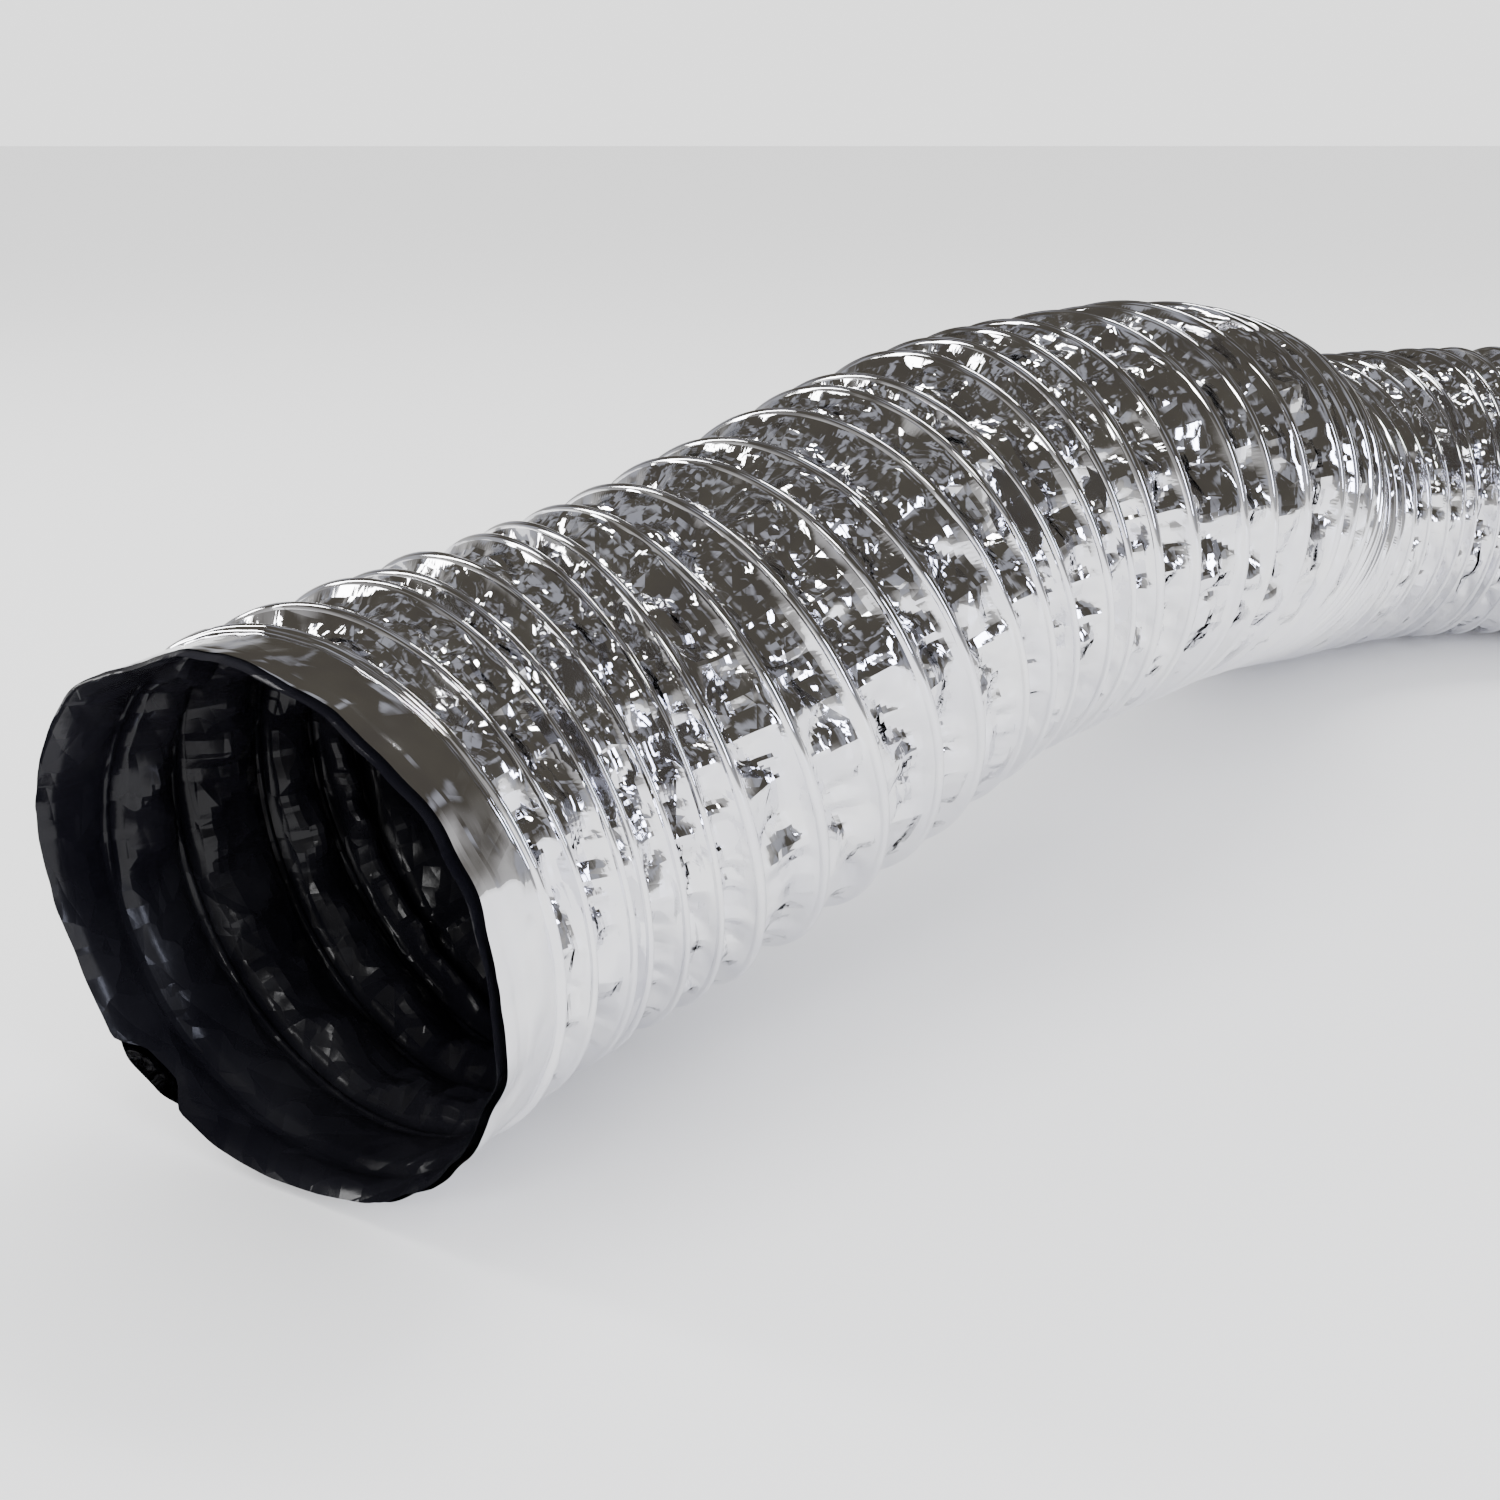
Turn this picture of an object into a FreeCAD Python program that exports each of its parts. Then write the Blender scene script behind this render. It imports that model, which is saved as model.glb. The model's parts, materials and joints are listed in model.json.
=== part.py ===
import FreeCAD
import Part
import math
import os

from FreeCAD import Vector

# Flexible air duct: a spring-steel wire helix held between a black inner ply
# and an outer foil ply, lying on the floor in one long arch and two bends.
# The duct is built as a chain of short sections, so that it can bend and
# stretch at the boundary between each section and the next.

# Driving dimensions, in millimetres and degrees
bore_diameter = 152.0
liner_wall = 0.5
foil_wall = 0.9
wire_diameter = 1.4
glue_gap = 0.1
wire_pitch = 18.75
collar_length = 16.0
sleeve_cut = 0.3
wire_cut = 1.0

# Number of wire turns in each section. The wire crosses the boundaries at the
# duct's left side, then its foot or top, then the side again, in threes. A bend
# that turns about the crossing doesn't move the wire's two ends apart.
section_count = 18
turns_top_to_side = 2.75
turns_side_to_side = 2.5
first_turn_angle = 270.0

# Route on the floor: (sections, sideways bend of each; left is positive)
first_heading = 62.0
sideways_bends = (
    (2, -13.0),
    (2, 5.0),
    (2, -6.0),
    (4, 8.0),
    (1, -11.0),
    (3, -14.0),
    (4, -12.0),
)

# Arch: the duct rises, runs on, falls, and levels out onto the floor again
rise_sections = 3
crest_sections = 2
fall_sections = 5
landing_sections = 3
rise_per_section = 4.3

points_per_turn = 20

# Radii that follow from the driving dimensions
bore_radius = bore_diameter / 2
liner_radius = bore_radius + liner_wall
wire_radius = liner_radius + glue_gap + wire_diameter / 2
foil_inner_radius = wire_radius + wire_diameter / 2 + glue_gap
foil_radius = foil_inner_radius + foil_wall

UP = Vector(0, 0, 1)


def turns_in(index):
    """Wire turns in the section with this index, counted from the front."""
    if index % 3 == 2:
        return turns_side_to_side
    return turns_top_to_side


def sideways_angles():
    """Sideways bend of each section."""
    angles = []
    for count, bend in sideways_bends:
        angles += [bend] * count
    return angles


def climb_angles(fall_per_section):
    """Upward bend of each section, for a given fall; the last ones are level."""
    rise_total = rise_per_section * rise_sections
    fall_total = fall_per_section * fall_sections
    landing_per_section = (fall_total - rise_total) / landing_sections
    angles = [rise_per_section] * rise_sections
    angles += [0.0] * crest_sections
    angles += [-fall_per_section] * fall_sections
    angles += [landing_per_section] * landing_sections
    angles += [0.0] * (section_count - len(angles))
    return angles


def direction(heading, climb):
    """Unit vector at this heading from +X and this climb above the floor."""
    flat = math.cos(math.radians(climb))
    return Vector(
        flat * math.cos(math.radians(heading)),
        flat * math.sin(math.radians(heading)),
        math.sin(math.radians(climb)),
    )


class Arc:
    """One section's centre line: a straight or circular run between tangents."""

    def __init__(self, start, tangent, end_tangent, length):
        self.start = start
        self.tangent = tangent
        self.length = length
        self.bend = tangent.getAngle(end_tangent)
        if self.bend > 1e-6:
            self.axis = tangent.cross(end_tangent).normalize()
            self.radius = length / self.bend
            self.centre = start + self.axis.cross(tangent) * self.radius

    def turn_to(self, distance):
        """Rotation that carries the section's start to this distance."""
        angle = math.degrees(self.bend * distance / self.length)
        return FreeCAD.Rotation(self.axis, angle)

    def point(self, distance):
        if self.bend <= 1e-6:
            return self.start + self.tangent * distance
        return self.centre + self.turn_to(distance).multVec(self.start - self.centre)

    def tangent_at(self, distance):
        if self.bend <= 1e-6:
            return Vector(self.tangent)
        return self.turn_to(distance).multVec(self.tangent)

    def end(self):
        return self.point(self.length)


def centre_line(fall_per_section):
    """The arcs of all sections, starting at the end of the front collar."""
    heading = first_heading
    climb = 0.0
    here = Vector(0, 0, 0) + direction(heading, climb) * collar_length
    bends = sideways_angles()
    climbs = climb_angles(fall_per_section)
    arcs = []
    for index in range(section_count):
        tangent = direction(heading, climb)
        heading += bends[index]
        climb += climbs[index]
        length = turns_in(index) * wire_pitch
        arcs.append(Arc(here, tangent, direction(heading, climb), length))
        here = arcs[-1].end()
    return arcs


def landing_fall():
    """Fall per section that brings the arch back to the height it rose from."""
    low = rise_per_section * rise_sections / fall_sections
    high = 5 * low
    for _ in range(60):
        middle = (low + high) / 2
        if centre_line(middle)[-1].end().z > 0:
            low = middle
        else:
            high = middle
    return middle


def frame_at(arc, distance):
    """Centre, and the sideways and upward directions square to the duct."""
    tangent = arc.tangent_at(distance)
    side = tangent.cross(UP).normalize()
    return arc.point(distance), side, side.cross(tangent)


def ring_face(centre, tangent, inner, outer):
    """Flat ring, square to the duct."""
    discs = []
    for radius in (outer, inner):
        rim = Part.Wire(Part.makeCircle(radius, centre, tangent))
        discs.append(Part.Face(rim))
    return discs[0].cut(discs[1]).Faces[0]


def straight_tube(start, tangent, length, inner, outer):
    return ring_face(start, tangent, inner, outer).extrude(tangent * length)


def bent_tube(arc, start, end, inner, outer):
    """Tube round the section's centre line between two distances along it."""
    face = ring_face(arc.point(start), arc.tangent_at(start), inner, outer)
    if arc.bend <= 1e-6:
        return face.extrude(arc.tangent * (end - start))
    angle = math.degrees(arc.bend * (end - start) / arc.length)
    return face.revolve(arc.centre, arc.axis, angle)


def sleeve(arcs, index, inner, outer):
    """One section's length of ply; the first and last carry the plain collars."""
    arc = arcs[index]
    first = index == 0
    last = index == section_count - 1
    start = 0.0 if first else sleeve_cut / 2
    end = arc.length if last else arc.length - sleeve_cut / 2
    tube = bent_tube(arc, start, end, inner, outer)
    if first:
        mouth = arc.start - arc.tangent * collar_length
        collar = straight_tube(mouth, arc.tangent, collar_length, inner, outer)
        tube = tube.fuse(collar)
    if last:
        tangent = arc.tangent_at(arc.length)
        collar = straight_tube(arc.end(), tangent, collar_length, inner, outer)
        tube = tube.fuse(collar)
    return tube


def coil(arcs, index, angle_at_start):
    """One section's length of the wire, right-handed, as a swept round bar."""
    arc = arcs[index]
    back_off = wire_cut / 2 * wire_pitch / (2 * math.pi * wire_radius)
    start = 0.0 if index == 0 else back_off
    end = arc.length if index == section_count - 1 else arc.length - back_off
    steps = int(math.ceil(turns_in(index) * points_per_turn))
    points = []
    for step in range(steps + 1):
        distance = start + (end - start) * step / steps
        angle = math.radians(angle_at_start + 360.0 * distance / wire_pitch)
        centre, side, up = frame_at(arc, distance)
        across = side * math.sin(angle) + up * math.cos(angle)
        points.append(centre + across * wire_radius)
    curve = Part.BSplineCurve()
    curve.interpolate(points)
    edge = curve.toShape()
    along = curve.tangent(curve.FirstParameter)[0]
    section = Part.Wire(Part.makeCircle(wire_diameter / 2, points[0], along))
    return Part.Wire([edge]).makePipeShell([section], True, True)


def build():
    """Every piece by name, standing on the floor about the origin."""
    arcs = centre_line(landing_fall())
    pieces = {}
    angle = first_turn_angle
    for index in range(section_count):
        number = "%02d" % (index + 1)
        pieces["foil_sleeve_" + number] = sleeve(arcs, index, foil_inner_radius, foil_radius)
        pieces["wire_coil_" + number] = coil(arcs, index, angle)
        pieces["liner_sleeve_" + number] = sleeve(arcs, index, bore_radius, liner_radius)
        angle += 360.0 * turns_in(index)
    box = FreeCAD.BoundBox()
    for shape in pieces.values():
        box.add(shape.optimalBoundingBox(False, False))
    shift = Vector(-box.Center.x, -box.Center.y, -box.ZMin)
    for shape in pieces.values():
        shape.translate(shift)
    return pieces, arcs, shift


def main():
    os.makedirs("parts", exist_ok=True)
    pieces, arcs, shift = build()
    for name, shape in pieces.items():
        if not shape.isValid() or len(shape.Solids) != 1:
            raise ValueError(name + " is not one valid solid")
        shape.exportStep("parts/" + name + ".step")
    print("%d pieces, duct length %.0f mm" % (
        len(pieces), 2 * collar_length + sum(arc.length for arc in arcs)))
    print("front mouth at", arcs[0].start - arcs[0].tangent * collar_length + shift)


if __name__ == "__main__":
    main()
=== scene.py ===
import json
import math
from types import SimpleNamespace

import bpy
from mathutils import Matrix, Vector


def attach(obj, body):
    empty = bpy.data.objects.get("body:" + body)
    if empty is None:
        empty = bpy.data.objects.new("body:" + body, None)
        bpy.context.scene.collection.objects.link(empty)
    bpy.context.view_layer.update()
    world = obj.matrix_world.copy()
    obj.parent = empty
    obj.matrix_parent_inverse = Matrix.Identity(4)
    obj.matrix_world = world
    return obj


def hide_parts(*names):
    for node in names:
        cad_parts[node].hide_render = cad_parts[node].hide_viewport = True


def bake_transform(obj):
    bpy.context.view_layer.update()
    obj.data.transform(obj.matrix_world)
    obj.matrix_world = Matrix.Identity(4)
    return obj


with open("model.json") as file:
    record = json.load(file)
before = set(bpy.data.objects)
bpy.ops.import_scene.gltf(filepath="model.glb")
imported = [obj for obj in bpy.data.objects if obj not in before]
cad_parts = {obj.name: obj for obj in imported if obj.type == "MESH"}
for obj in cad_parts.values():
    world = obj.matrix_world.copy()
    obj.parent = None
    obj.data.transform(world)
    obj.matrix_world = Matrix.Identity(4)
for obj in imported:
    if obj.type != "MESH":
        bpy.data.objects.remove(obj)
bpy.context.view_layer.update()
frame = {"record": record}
record = frame["record"]

MM = 0.001
TURN = 2 * math.pi

# ---------------------------------------------------------------- the duct's sizes
mounts = {mount["name"]: mount for mount in record["mounts"]}
front_mount = mounts["front_mouth"]
bore_radius = front_mount["dims"]["r_mm"] * MM
collar_length = front_mount["dims"]["length_mm"] * MM
front_out = Vector(front_mount["axis"]).normalized()
front_mouth = Vector(front_mount["pos_m"]) + front_out * collar_length / 2

liner_wall = 0.5 * MM
glue_gap = 0.1 * MM
wire_diameter = 1.4 * MM
wire_radius = bore_radius + liner_wall + glue_gap + wire_diameter / 2
wire_pitch = 18.75 * MM
first_turn_angle = math.radians(270)
turns_top_to_side = 2.75
turns_side_to_side = 2.5
section_count = 18

# Route, in degrees a section: bends to the left, then the arch's rise, crest, fall and
# landing. The fall is steep enough to bring the far end down to the floor again.
sideways_bends = [-13] * 2 + [5] * 2 + [-6] * 2 + [8] * 4 + [-11] + [-14] * 3 + [-12] * 4
rise = 4.3
fall = 6.4514
landing = (fall * 5 - rise * 3) / 3
climbs = [rise] * 3 + [0] * 2 + [-fall] * 5 + [landing] * 3 + [0] * 5
section_turns = [turns_side_to_side if k % 3 == 2 else turns_top_to_side
                 for k in range(section_count)]
section_lengths = [turns * wire_pitch for turns in section_turns]


def direction(heading, climb):
    """Unit vector at a heading from +X and a climb, in degrees."""
    h, c = math.radians(heading), math.radians(climb)
    return Vector((math.cos(c) * math.cos(h), math.cos(c) * math.sin(h), math.sin(c)))


def centre_line(step=2 * MM):
    """Points along the duct's centre line, with the length at each."""
    heading = math.degrees(math.atan2(-front_out.y, -front_out.x))
    climb = 0.0
    here = front_mouth.copy()
    points = [(0.0, here.copy())]
    stretches = [(collar_length, 0, 0)]
    stretches += list(zip(section_lengths, sideways_bends, climbs))
    stretches += [(collar_length, 0, 0)]
    length = 0.0
    for run, bend, lift in stretches:
        count = max(1, round(run / step))
        start = direction(heading, climb)
        end = direction(heading + bend, climb + lift)
        axis = start.cross(end)
        angle = start.angle(end) if axis.length > 1e-9 else 0.0
        for k in range(count):
            turn = Matrix.Rotation(angle * (k + 0.5) / count, 3, axis) if angle else None
            ahead = turn @ start if turn else start
            chord = run / count
            if angle:
                half = angle / count / 2
                chord *= math.sin(half) / half
            here += ahead * chord
            length += run / count
            points.append((length, here.copy()))
        heading += bend
        climb += lift
    return points


route = centre_line()
duct_length = route[-1][0]


def at(length):
    """Point of the centre line at this length from the front mouth."""
    k = 1
    while k < len(route) - 1 and route[k][0] < length:
        k += 1
    (a, p), (b, q) = route[k - 1], route[k]
    return p.lerp(q, (length - a) / (b - a))


def heading_at(length):
    """Direction of the centre line at this length."""
    return (at(length + MM) - at(length - MM)).normalized()


# ---------------------------------------------------------------- node writing
class Field:
    """One value in a node tree. Sums and products of fields add the nodes."""

    def __init__(self, net, socket):
        self.net = net
        self.socket = socket

    def __add__(self, other):
        return self.net.math("ADD", self, other)

    def __sub__(self, other):
        return self.net.math("SUBTRACT", self, other)

    def __mul__(self, other):
        return self.net.math("MULTIPLY", self, other)

    def __truediv__(self, other):
        return self.net.math("DIVIDE", self, other)

    __radd__ = __add__
    __rmul__ = __mul__

    def __rsub__(self, other):
        return self.net.math("SUBTRACT", other, self)

    def __rtruediv__(self, other):
        return self.net.math("DIVIDE", other, self)


class Net:
    """A node tree with short ways to add nodes to it."""

    def __init__(self, tree):
        self.tree = tree

    def node(self, kind, *inputs, **settings):
        """Adds a node. Inputs are given in order or, as pairs, by name."""
        node = self.tree.nodes.new(kind)
        for name, value in settings.items():
            setattr(node, name, value)
        for k, value in enumerate(inputs):
            key = k
            if isinstance(value, tuple) and len(value) == 2:
                key, value = value
            self.feed(node.inputs[key], value)
        return node

    def feed(self, socket, value):
        if value is None:
            return
        if isinstance(value, Field):
            value = value.socket
        if isinstance(value, bpy.types.NodeSocket):
            self.tree.links.new(value, socket)
        else:
            socket.default_value = value

    def get(self, kind, output, *inputs, **settings):
        return Field(self, self.node(kind, *inputs, **settings).outputs[output])

    def math(self, operation, *inputs):
        return self.get("ShaderNodeMath", 0, *inputs, operation=operation)

    def vector(self, operation, *inputs):
        return self.get("ShaderNodeVectorMath", 0, *inputs, operation=operation)

    def scaled(self, vector, factor):
        return self.get("ShaderNodeVectorMath", 0, ("Vector", vector), ("Scale", factor),
                        operation="SCALE")

    def combine(self, x, y, z):
        return self.get("ShaderNodeCombineXYZ", 0, x, y, z)

    def ring(self, angle, z, radius=1.0):
        """Point on a circle at this angle, with the given third coordinate."""
        return self.combine(self.math("SINE", angle) * radius,
                            self.math("COSINE", angle) * radius, z)

    def turned(self, where, axis, angle):
        return self.get("ShaderNodeVectorRotate", 0, ("Vector", where), ("Axis", axis),
                        ("Angle", angle))

    def step(self, value, low, high):
        """Smooth step from 0 at low to 1 at high."""
        return self.get("ShaderNodeMapRange", 0, ("Value", value), ("From Min", low),
                        ("From Max", high), interpolation_type="SMOOTHSTEP")

    def choose(self, test, no, yes):
        return self.get("GeometryNodeSwitch", 0, test, no, yes, input_type="FLOAT")

    def greater(self, a, b):
        return self.math("GREATER_THAN", a, b)

    def clamp(self, value, low, high):
        return self.math("MINIMUM", self.math("MAXIMUM", value, low), high)

    def mix_colours(self, factor, first, second):
        return self.get("ShaderNodeMix", 2, (0, factor), (6, first), (7, second),
                        data_type="RGBA")

    def noise(self, where, scale, detail=0.0, dimensions="3D"):
        """Noise from -1 to 1."""
        name = "W" if dimensions == "1D" else "Vector"
        value = self.get("ShaderNodeTexNoise", 0, (name, where), ("Scale", scale),
                         ("Detail", detail), noise_dimensions=dimensions)
        return (value - 0.5) * 2.0

    def folds(self, where, scale, metric="CHEBYCHEV", randomness=1.0):
        """Creased facets, about 0 to 1: distance to the nearest of many points."""
        return self.get("ShaderNodeTexVoronoi", "Distance", ("Vector", where),
                        ("Scale", scale), ("Randomness", randomness),
                        voronoi_dimensions="3D", feature="F1", distance=metric)


class GeometryTree(Net):
    """A Geometry Nodes tree with named inputs."""

    def __init__(self, name):
        super().__init__(bpy.data.node_groups.new(name, "GeometryNodeTree"))
        self.tree.is_modifier = True
        self.keys = {}
        self.source = self.tree.nodes.new("NodeGroupInput")
        self.sink = self.tree.nodes.new("NodeGroupOutput")
        for way in ("INPUT", "OUTPUT"):
            self.tree.interface.new_socket("Geometry", in_out=way,
                                           socket_type="NodeSocketGeometry")

    def input(self, name, kind="NodeSocketFloat"):
        item = self.tree.interface.new_socket(name, in_out="INPUT", socket_type=kind)
        self.keys[name] = item.identifier
        return Field(self, self.source.outputs[name])

    def line(self):
        return self.source.outputs["Geometry"]

    def finish(self, geometry, material):
        real = self.node("GeometryNodeRealizeInstances", geometry)
        done = self.node("GeometryNodeSetMaterial", real.outputs[0], ("Material", material))
        self.tree.links.new(done.outputs[0], self.sink.inputs[0])
        return self


# ---------------------------------------------------------------- the wire's turns
# each slow wave of the uneven spacing: its share, waves per turn, and phase
slow_waves = ((1.0, 0.09, 0.4), (0.37, 0.31, 2.2), (0.26, 0.43, 5.1))
undoing_steps = 10


def wire_place(net, turn, pitch, start, uneven):
    """Length along the duct at which the wire has made this many turns."""
    return (turn + drift(net, turn, uneven)) * pitch + start


def drift(net, turn, uneven):
    """How far a turn has slid from even spacing, in turns: three slow waves."""
    total = 0.0
    for share, waves_per_turn, phase in slow_waves:
        total = net.math("SINE", turn * (TURN * waves_per_turn) + phase) * share + total
    return total * uneven


def sway(net, turn, amount):
    """How far out of round a turn lies."""
    return net.noise(turn + 31.0, 1.9, 1.5, "1D") * amount


def turns_before(net, length, pitch, start, uneven):
    """The turns the wire has made at this length: wire_place undone."""
    even = (length - start) / pitch
    turn = even
    for _ in range(undoing_steps):
        turn = even - drift(net, turn, uneven)
    return turn


def round_the_duct(net, length, angle, radius):
    """Point at a length along the duct, an angle clockwise from the top, and a radius."""
    sample = net.node("GeometryNodeSampleCurve", ("Curves", net.line()),
                      ("Length", length), mode="LENGTH", data_type="FLOAT",
                      use_all_curves=True)
    side = Field(net, sample.outputs["Normal"])
    tangent = Field(net, sample.outputs["Tangent"])
    up = net.vector("CROSS_PRODUCT", side, tangent)
    across = net.vector("ADD", net.scaled(side, net.math("SINE", angle)),
                        net.scaled(up, net.math("COSINE", angle)))
    return net.vector("ADD", Field(net, sample.outputs["Position"]),
                      net.scaled(across, radius))


def wire_there(net, turn, first, last):
    """1 where the wire lies under this turn, 0 before its first end and past its last."""
    beyond = 0.03
    within = 0.01
    begun = net.step(turn, first - beyond, first + within)
    ended = net.step(turn, last - within, last + beyond)
    return begun * (1.0 - ended)


# ---------------------------------------------------------------- film over the wire
film_numbers = (
    "Start", "End", "Full length", "First turn", "Bead rows", "Web rows",
    "Wire pitch", "Wire start", "Wire first turn", "Wire last turn", "Uneven pitch",
    "Wire radius", "Bead radius", "Side", "Ply gap", "Web sag",
    "Crumple depth", "Crumple size", "Pleat depth", "Cuff crumple", "Out of round",
    "Edge wave", "Inset", "Wave seed", "Rim wave", "Lip out", "Tongue angle", "Tongue length",
)
film_counts = ("Turns", "Columns")


def film_inputs(net):
    """The film's inputs as fields, under their names in small letters."""
    given = {name: net.input(name) for name in film_numbers}
    given.update({name: net.input(name, "NodeSocketInt") for name in film_counts})
    given["Material"] = net.input("Material", "NodeSocketMaterial")
    return SimpleNamespace(**{name.lower().replace(" ", "_"): field
                              for name, field in given.items()})


def turn_and_gap(net, given, turn):
    """Where this turn of the wire lies along the duct, and how far on the next one is."""
    spacing = given.wire_pitch, given.wire_start, given.uneven_pitch
    here = wire_place(net, turn, *spacing)
    return here, wire_place(net, turn + 1.0, *spacing) - here


def film_grid(net, given):
    """The grid of points, each one's share of the way round, and the length it falls at.

    Rows follow the helix: some close together over each bead, the rest across the web.
    """
    per_turn = given.bead_rows + given.web_rows
    rows = per_turn * given.turns + 1.0
    grid = net.node("GeometryNodeMeshGrid", ("Size X", 1.0), ("Size Y", 1.0),
                    ("Vertices X", net.math("ADD", given.columns, 1.0)),
                    ("Vertices Y", rows))
    place = net.node("ShaderNodeSeparateXYZ", net.node("GeometryNodeInputPosition").outputs[0])
    around = Field(net, place.outputs[0]) + 0.5
    row = net.math("ROUND", (Field(net, place.outputs[1]) + 0.5) * (rows - 1.0))
    row_turn = net.math("FLOOR", row / per_turn)
    row_in_turn = row - row_turn * per_turn
    here, gap = turn_and_gap(net, given, given.first_turn + row_turn + around)
    bead = given.bead_radius
    over_bead = row_in_turn / (given.bead_rows - 1.0) - 0.5
    bead_offset = net.math("SINE", over_bead * math.pi) * bead
    over_web = (row_in_turn - given.bead_rows + 1.0) / (given.web_rows + 1.0)
    web_offset = bead + over_web * (gap - bead * 2.0)
    on_bead = net.math("LESS_THAN", row_in_turn, given.bead_rows - 0.5)
    return grid, around, here + net.choose(on_bead, web_offset, bead_offset)


def cut_edges(net, given, angle):
    """Lengths of the duct's front and back cut edges, which wander round the duct."""
    tongue_half_width = 0.07
    tongue_foot = 0.2
    wave = net.noise(net.ring(angle, given.wave_seed), 2.2, 2.5)
    edge = (wave + 1.0) * given.edge_wave + given.inset
    away = net.math("ABSOLUTE", angle - given.tongue_angle)
    tongue = 1.0 - net.step(away, tongue_half_width, tongue_foot)
    return edge - tongue * given.tongue_length, given.full_length - edge


def bead_height(net, given, distance, present):
    """How far the film stands out over the wire, at this distance along from it."""
    bead = given.bead_radius
    inside = net.math("MAXIMUM", 0.0, 1.0 - (distance / bead) * (distance / bead))
    return net.math("SQRT", inside) * bead * present


def crumples(net, given, angle, length, tight):
    """Height of the creases on a web: large facets, small ones here and there, pleats."""
    small_share = 0.48
    middle_fold = 0.35
    flat_place = net.ring(angle, length, given.wire_radius)
    warp = net.get("ShaderNodeTexNoise", 1, ("Vector", flat_place), ("Scale", 22.0),
                   ("Detail", 0.0))
    bent = net.vector("ADD", flat_place, net.scaled(warp, 8 * MM))
    turned = net.turned(bent, (0.6, 0.3, 1.0), 0.9)
    lengthways = net.vector("MULTIPLY", bent, (1.0, 1.0, 0.3))
    large = net.folds(bent, 1.0 / given.crumple_size, "MANHATTAN")
    small = net.folds(turned, 1.8 / given.crumple_size)
    pleats = net.folds(lengthways, 2.0 / given.crumple_size, "MANHATTAN")
    creased = net.step(net.noise(bent, 16.0, 1.0), -0.25, 0.35) * 0.8 + 0.2
    height = (middle_fold - large) * given.crumple_depth
    height = height + (small - middle_fold) * creased * (given.crumple_depth * small_share)
    return height + (0.5 - pleats) * given.pleat_depth * (tight + 0.35)


def round_radius(net, given, turn, along):
    """Radius to the wire's middle, between this turn's and the next one's."""
    this_sway = sway(net, turn, given.out_of_round)
    next_sway = sway(net, turn + 1.0, given.out_of_round)
    return given.wire_radius + this_sway + (next_sway - this_sway) * along


def rim_shape(net, given, angle, length, front_edge, back_edge):
    """Dents near each mouth, and the lip turned out at its cut edge."""
    dented_length = 22 * MM
    lip_length = 3.5 * MM
    from_mouth = net.math("MINIMUM", length, given.full_length - length)
    nearness = 1.0 - net.step(from_mouth, 0.0, dented_length)
    dent = net.noise(net.ring(angle, 7.0), 2.4, 1.5) * given.rim_wave * nearness
    from_edge = net.math("MINIMUM", length - front_edge, back_edge - length)
    return dent + (1.0 - net.step(from_edge, 0.0, lip_length)) * given.lip_out


def smoothed(net, mesh):
    """Joins doubled points and shades smooth, apart from sharp creases on the webs."""
    joined = net.node("GeometryNodeMergeByDistance", mesh, ("Distance", 0.03 * MM))
    smooth = net.node("GeometryNodeSetShadeSmooth", joined.outputs[0])
    sharp = net.greater(net.get("GeometryNodeInputMeshEdgeAngle", 0), math.radians(11))
    on_web = net.greater(net.get("GeometryNodeInputNamedAttribute", 0, ("Name", "web"),
                                 data_type="FLOAT"), 0.3)
    return net.node("GeometryNodeSetShadeSmooth", smooth.outputs[0],
                    ("Selection", sharp * on_web), ("Shade Smooth", False), domain="EDGE")


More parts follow.
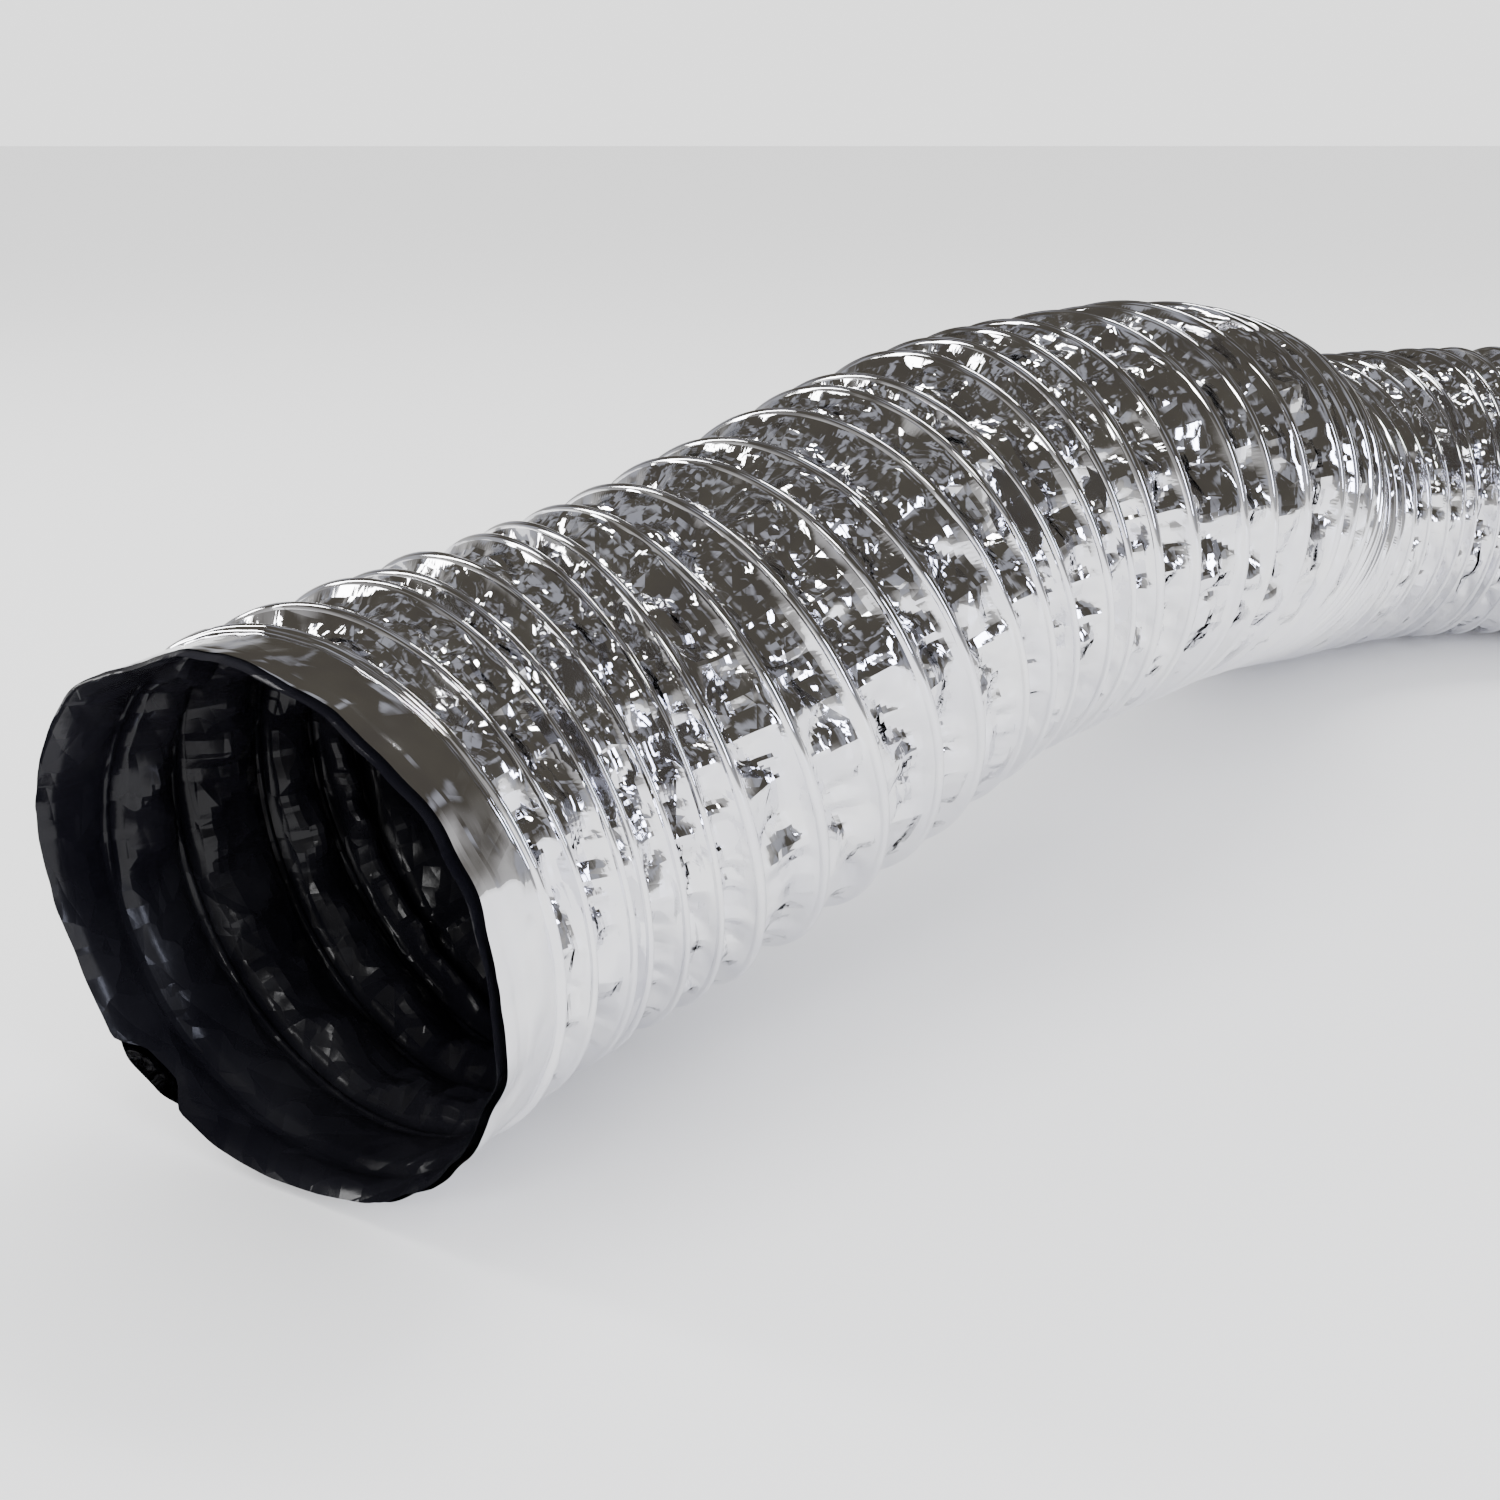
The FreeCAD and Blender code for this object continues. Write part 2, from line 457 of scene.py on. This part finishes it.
def film_tree():
    """A ply of film wrapped over the wire: beads over the turns, crumpled webs between."""
    film_half_wall = 0.25 * MM
    net = GeometryTree("film over wire")
    given = film_inputs(net)
    grid, around, free_length = film_grid(net, given)
    angle = around * TURN
    front_edge, back_edge = cut_edges(net, given, angle)
    length = net.clamp(free_length, net.math("MAXIMUM", given.start, front_edge),
                       net.math("MINIMUM", given.end, back_edge))

    # the wall's shape depends only on length and angle, so that neighbours meet
    turns = turns_before(net, length, given.wire_pitch, given.wire_start, given.uneven_pitch)
    turn = net.math("FLOOR", turns - around) + around
    here, gap = turn_and_gap(net, given, turn)
    offset = net.clamp(length - here, 0.0, gap)
    wired = wire_there(net, turn, given.wire_first_turn, given.wire_last_turn)
    next_wired = wire_there(net, turn + 1.0, given.wire_first_turn, given.wire_last_turn)
    both_wired = wired * next_wired
    beads = bead_height(net, given, offset, wired)
    beads = beads + bead_height(net, given, gap - offset, next_wired)
    across_web = (offset - given.bead_radius) / (gap - given.bead_radius * 2.0)
    hollow = net.math("SINE", net.clamp(across_web, 0.0, 1.0) * math.pi)
    tight = 1.0 - net.step(gap / given.wire_pitch, 0.55, 1.1)

    creases = crumples(net, given, angle, length, tight)
    cuff = (1.0 - both_wired) * given.cuff_crumple
    creases = creases * (net.math("POWER", hollow, 0.6) * both_wired + cuff)
    slack = net.noise(net.ring(angle, length * 30.0), 1.5, 2.0)
    sag = net.math("POWER", hollow, 0.8) * both_wired * given.web_sag
    web = creases - sag * (1.0 + slack * 0.4 + tight * 0.3)
    wall = round_radius(net, given, turn, offset / gap)
    wall = wall + rim_shape(net, given, angle, length, front_edge, back_edge)
    wall = wall + web + (beads + film_half_wall) * given.side
    wall = wall + net.math("POWER", hollow, 0.35) * given.ply_gap

    web_mark = net.math("SQRT", hollow) * (both_wired * 0.85 + 0.15)
    marked = net.node("GeometryNodeStoreNamedAttribute", ("Geometry", grid.outputs[0]),
                      ("Name", "web"), ("Value", web_mark),
                      data_type="FLOAT", domain="POINT")
    moved = net.node("GeometryNodeSetPosition", marked.outputs[0],
                     ("Position", round_the_duct(net, length, angle, wall)))
    return net.finish(smoothed(net, moved.outputs[0]).outputs[0], given.material)


def wire_tree():
    """The spring wire: a round bar wound along the duct."""
    net = GeometryTree("wound wire")
    first = net.input("First turn")
    last = net.input("Last turn")
    points = net.input("Points", "NodeSocketInt")
    pitch = net.input("Wire pitch")
    wire_start = net.input("Wire start")
    uneven = net.input("Uneven pitch")
    out_of_round = net.input("Out of round")
    radius = net.input("Wire radius")
    thickness = net.input("Wire diameter")
    material = net.input("Material", "NodeSocketMaterial")
    line = net.node("GeometryNodeCurvePrimitiveLine")
    fine = net.node("GeometryNodeResampleCurve", line.outputs[0], ("Count", points))
    share = net.get("GeometryNodeSplineParameter", "Factor")
    turn = first + (last - first) * share
    length = wire_place(net, turn, pitch, wire_start, uneven)
    path = net.node("GeometryNodeSetPosition", fine.outputs[0],
                    ("Position", round_the_duct(
                        net, length, turn * TURN, radius + sway(net, turn, out_of_round))))
    ring = net.node("GeometryNodeCurvePrimitiveCircle", ("Resolution", 8),
                    ("Radius", thickness / 2.0))
    bar = net.node("GeometryNodeCurveToMesh", path.outputs[0], ring.outputs[0],
                   ("Fill Caps", True))
    return net.finish(bar.outputs[0], material)


def make(tree, name, line, **values):
    """One piece: the tree run on the centre line with these inputs, as a plain mesh."""
    modifier = line.modifiers.new("shape", "NODES")
    modifier.node_group = tree.tree
    for key, value in values.items():
        modifier[tree.keys[key.replace("_", " ")]] = value
    bpy.context.view_layer.update()
    graph = bpy.context.evaluated_depsgraph_get()
    mesh = bpy.data.meshes.new_from_object(line.evaluated_get(graph))
    line.modifiers.remove(modifier)
    mesh.name = name
    piece = bpy.data.objects.new(name, mesh)
    bpy.context.scene.collection.objects.link(piece)
    return piece


# ---------------------------------------------------------------- finishes
def finish_tree(name):
    """A material with its Principled shader, and a net to write its nodes in."""
    material = bpy.data.materials.new(name)
    material.use_nodes = True
    net = Net(material.node_tree)
    shader = material.node_tree.nodes["Principled BSDF"]
    return material, net, shader


def bumped(net, height, strength, distance, under=None):
    return net.get("ShaderNodeBump", "Normal", ("Strength", strength),
                   ("Distance", distance), ("Height", height), ("Normal", under))


def foil_finish():
    """Mirror-bright metallised film with fine sharp creases."""
    cool_foil = (0.79, 0.79, 0.83, 1)
    bright_foil = (0.86, 0.86, 0.87, 1)
    large_fold_depth = 3.0 * MM
    small_fold_depth = 1.1 * MM
    material, net, shader = finish_tree("metallised_foil")
    where = net.get("ShaderNodeTexCoord", "Object")
    off_the_wire = net.get("ShaderNodeAttribute", "Fac", attribute_name="web")
    large = net.folds(net.turned(where, (0.5, 0.2, 0.8), 0.8), 46.0)
    small = net.folds(where, 88.0, "MANHATTAN")
    patches = net.step(net.noise(where, 26.0, 2.0), -0.1, 0.4) * 0.7 + 0.3
    worn = net.noise(where, 60.0, 3.0)
    normal = bumped(net, large * off_the_wire, 1.0, large_fold_depth)
    normal = bumped(net, small * off_the_wire * patches, 1.0, small_fold_depth, normal)
    net.feed(shader.inputs["Normal"], normal)
    net.feed(shader.inputs["Base Color"],
             net.mix_colours(net.step(worn, -0.4, 0.5), cool_foil, bright_foil))
    net.feed(shader.inputs["Roughness"], net.step(worn, -0.8, 0.9) * 0.06 + 0.03)
    shader.inputs["Metallic"].default_value = 1.0
    return material


def liner_finish():
    """Black glossy plastic film, finely wrinkled."""
    deep_black = (0.004, 0.004, 0.006, 1)
    scuffed_black = (0.010, 0.010, 0.013, 1)
    wrinkle_depth = 3.5 * MM
    grain_depth = 0.4 * MM
    material, net, shader = finish_tree("black_film")
    where = net.get("ShaderNodeTexCoord", "Object")
    warp = net.get("ShaderNodeTexNoise", 1, ("Vector", where), ("Scale", 20.0),
                   ("Detail", 1.0))
    bent = net.vector("ADD", where, net.scaled(warp, 10 * MM))
    wrinkles = net.folds(bent, 60.0, "MANHATTAN")
    grain = net.noise(where, 320.0, 3.0)
    patches = net.noise(where, 25.0, 3.0)
    normal = bumped(net, wrinkles, 0.55, wrinkle_depth)
    normal = bumped(net, grain, 0.12, grain_depth, normal)
    net.feed(shader.inputs["Normal"], normal)
    net.feed(shader.inputs["Base Color"],
             net.mix_colours(net.step(patches, -0.5, 0.6), deep_black, scuffed_black))
    net.feed(shader.inputs["Roughness"], net.step(patches, -0.8, 0.9) * 0.10 + 0.20)
    shader.inputs["Specular IOR Level"].default_value = 0.22
    return material


def wire_finish():
    """Drawn spring steel."""
    material, net, shader = finish_tree("spring_steel")
    where = net.get("ShaderNodeTexCoord", "Object")
    drawn = net.noise(where, 700.0, 2.0)
    net.feed(shader.inputs["Normal"], bumped(net, drawn, 0.1, 0.2 * MM))
    net.feed(shader.inputs["Roughness"], net.step(drawn, -1.0, 1.0) * 0.12 + 0.28)
    shader.inputs["Base Color"].default_value = (0.42, 0.42, 0.44, 1)
    shader.inputs["Metallic"].default_value = 1.0
    return material


# ---------------------------------------------------------------- the duct
def centre_curve():
    """The centre line as a curve whose normals stay level."""
    curve = bpy.data.curves.new("centre_line", "CURVE")
    curve.dimensions = "3D"
    spline = curve.splines.new("POLY")
    spline.points.add(len(route) - 1)
    for point, (_, place) in zip(spline.points, route):
        point.co = (*place, 1)
    curve.twist_mode = "Z_UP"
    line = bpy.data.objects.new("centre_line", curve)
    bpy.context.scene.collection.objects.link(line)
    return line


def middles():
    """Length from the front mouth to the middle of each section's wired part."""
    places, here = [], collar_length
    for length in section_lengths:
        places.append(here + length / 2)
        here += length
    return places


wire_start = collar_length - first_turn_angle / TURN * wire_pitch
wire_turns = sum(section_turns)
first_turn = first_turn_angle / TURN
foil, liner, steel = foil_finish(), liner_finish(), wire_finish()
film, wound = film_tree(), wire_tree()
line = centre_curve()
cuts = [0.0] + middles() + [duct_length]
turns_early = 2
turns_late = 3
bar_points_per_turn = 72

shared = {
    "Wire_pitch": wire_pitch,
    "Wire_start": wire_start,
    "Uneven_pitch": 0.35,
    "Wire_radius": wire_radius,
    "Out_of_round": 1.1 * MM,
}
foil_shape = {
    "Columns": 360,
    "Bead_rows": 7.0,
    "Web_rows": 12.0,
    "Bead_radius": 1.6 * MM,
    "Side": 1.0,
    "Ply_gap": 0.0,
    "Lip_out": 0.0,
    "Inset": 2.6 * MM,
    "Tongue_length": 2.6 * MM,
    "Material": foil,
}
liner_shape = {
    "Columns": 240,
    "Bead_rows": 5.0,
    "Web_rows": 8.0,
    "Bead_radius": 0.9 * MM,
    "Side": -1.0,
    "Ply_gap": -2.3 * MM,
    "Lip_out": 1.1 * MM,
    "Inset": 0.0,
    "Tongue_length": -6.0 * MM,
    "Material": liner,
}
web_shape = {
    "Web_sag": 2.2 * MM,
    "Crumple_depth": 6.8 * MM,
    "Crumple_size": 22.0 * MM,
    "Pleat_depth": 2.2 * MM,
    "Cuff_crumple": 0.10,
    "Edge_wave": 1.2 * MM,
    "Tongue_angle": math.radians(222),
    "Rim_wave": 5.0 * MM,
    "Full_length": duct_length,
}


def turn_before(length):
    """Whole turn number from which a piece that starts here needs its rows."""
    return math.floor((length - wire_start) / wire_pitch) - turns_early


def own_sections(k):
    """The section bodies on each side of piece k of a ply."""
    low = max(k, 1)
    high = min(k + 1, section_count)
    return "section_%02d" % low, "section_%02d" % high


def carry(piece, k, replaced):
    """Rides piece k with its section; a piece across two sections is only baked in place.
    Hides the part it replaces.
    """
    wall_reach = bore_radius * 1.06
    clear = 0.5 * MM
    a, b = own_sections(k)
    if a == b:
        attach(piece, a)
    else:
        start, end = at(cuts[k]), at(cuts[k + 1])
        along = (end - start).normalized()
        slant = max(along.angle(heading_at(cuts[k])), along.angle(heading_at(cuts[k + 1])))
        inset = along * (wall_reach * math.sin(slant) + clear)
        start + inset
        end - inset
        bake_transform(piece)
    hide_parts(replaced)


def ply_piece(name, k, shape):
    """Piece k of a ply: from the middle of one section to the middle of the next."""
    first = turn_before(cuts[k])
    turns = math.ceil((cuts[k + 1] - cuts[k]) / wire_pitch) + turns_early + turns_late
    piece = make(film, "%s_%02d" % (name, k), line, Start=cuts[k], End=cuts[k + 1],
                 First_turn=float(first), Turns=turns, Wire_first_turn=first_turn,
                 Wire_last_turn=first_turn + wire_turns, Wave_seed=float(len(name)),
                 **shared, **shape, **web_shape)
    return piece


for k in range(section_count + 1):
    section = "%02d" % min(k + 1, section_count)
    skin = ply_piece("foil_ply", k, foil_shape)
    carry(skin, k, "foil_sleeve_" + section)
    inner = ply_piece("liner_ply", k, liner_shape)
    inner.data.flip_normals()
    carry(inner, k, "liner_sleeve_" + section)
    low = first_turn if k == 0 else (cuts[k] - wire_start) / wire_pitch
    high = (min(cuts[k + 1], duct_length - collar_length) - wire_start) / wire_pitch
    bar = make(wound, "wire_turns_%02d" % k, line, First_turn=low, Last_turn=high,
               Points=int((high - low) * bar_points_per_turn) + 2,
               Wire_diameter=wire_diameter,
               Material=steel, **shared)
    carry(bar, k, "wire_coil_" + section)

bpy.data.objects.remove(line)


# ---------------------------------------------------------------- room, light, camera
def floor():
    """A plain pale floor under the duct."""
    reach = 14.0
    depth = -0.5 * MM
    corners = [(x * reach, y * reach, depth) for x, y in ((-1, -1), (1, -1), (1, 1), (-1, 1))]
    mesh = bpy.data.meshes.new("floor")
    mesh.from_pydata(corners, [], [(0, 1, 2, 3)])
    material, _, shader = finish_tree("pale_floor")
    shader.inputs["Base Color"].default_value = (0.9, 0.9, 0.9, 1)
    shader.inputs["Roughness"].default_value = 0.6
    mesh.materials.append(material)
    plane = bpy.data.objects.new("floor", mesh)
    bpy.context.scene.collection.objects.link(plane)


def soft_light(name, place, target, size, watts, colour=(1, 1, 1)):
    data = bpy.data.lights.new(name, "AREA")
    data.shape = "RECTANGLE"
    data.size, data.size_y = size
    data.energy = watts
    data.color = colour
    lamp = bpy.data.objects.new(name, data)
    lamp.location = place
    aim = Vector(target) - Vector(place)
    lamp.rotation_euler = aim.to_track_quat("-Z", "Y").to_euler()
    bpy.context.scene.collection.objects.link(lamp)


def room():
    """Even white light and background; a dim warm-grey room in mirror-like reflections."""
    pale_wall = (0.62, 0.61, 0.60, 1)
    dim_ceiling = (0.085, 0.077, 0.064, 1)
    window = (0.60, 0.62, 0.70, 1)
    white = (1.0, 1.0, 1.0, 1.0)
    brightness = 2.0
    world = bpy.data.worlds.new("room")
    bpy.context.scene.world = world
    world.use_nodes = True
    net = Net(world.node_tree)
    world.node_tree.nodes.clear()
    where = net.get("ShaderNodeTexCoord", "Generated")
    height = Field(net, net.node("ShaderNodeSeparateXYZ", where).outputs[2])
    uneven = height + net.noise(where, 1.7, 1.0) * 0.3
    shade = net.mix_colours(net.step(uneven, -0.1, 0.38), pale_wall, dim_ceiling)
    windows = net.step(net.noise(where, 3.4, 0.0), 0.1, 0.5) * 0.6
    shade = net.mix_colours(windows, shade, window)
    reflected = net.node("ShaderNodeBackground", shade, 1.0)
    seen = net.node("ShaderNodeBackground", white, brightness)
    glossy_ray = net.get("ShaderNodeLightPath", "Is Glossy Ray")
    both = net.node("ShaderNodeMixShader", glossy_ray, seen.outputs[0],
                    reflected.outputs[0])
    out = net.node("ShaderNodeOutputWorld")
    world.node_tree.links.new(both.outputs[0], out.inputs[0])


def camera():
    """Stands before the front mouth, looking down and along the duct."""
    from_mouth = Vector((0.1252, -0.3346, 0.1962))
    looking_down = math.radians(22.98)
    turned_right = math.radians(0.455)
    data = bpy.data.cameras.new("camera")
    data.lens = 36.06
    data.sensor_width = 36.0
    seat = bpy.data.objects.new("camera", data)
    seat.location = front_mouth + from_mouth
    seat.rotation_euler = (math.pi / 2 - looking_down, 0, -turned_right)
    bpy.context.scene.collection.objects.link(seat)
    bpy.context.scene.camera = seat


floor()
room()
# name, place, target, size, watts and, where it isn't white, colour
soft_light("overhead", (0.2, 0.5, 1.8), (0, 0, 0), (0.9, 0.16), 14)
soft_light("from_left", (-1.8, 0.3, 0.9), (0, 0, 0.1), (0.25, 1.1), 14)
soft_light("from_right", (1.1, -1.5, 0.8), (0, 0, 0.1), (0.30, 0.9), 16, (0.76, 0.80, 1.0))
soft_light("from_front", (-0.9, -1.6, 1.2), (-0.2, -0.1, 0.1), (0.5, 0.25), 8)
camera()
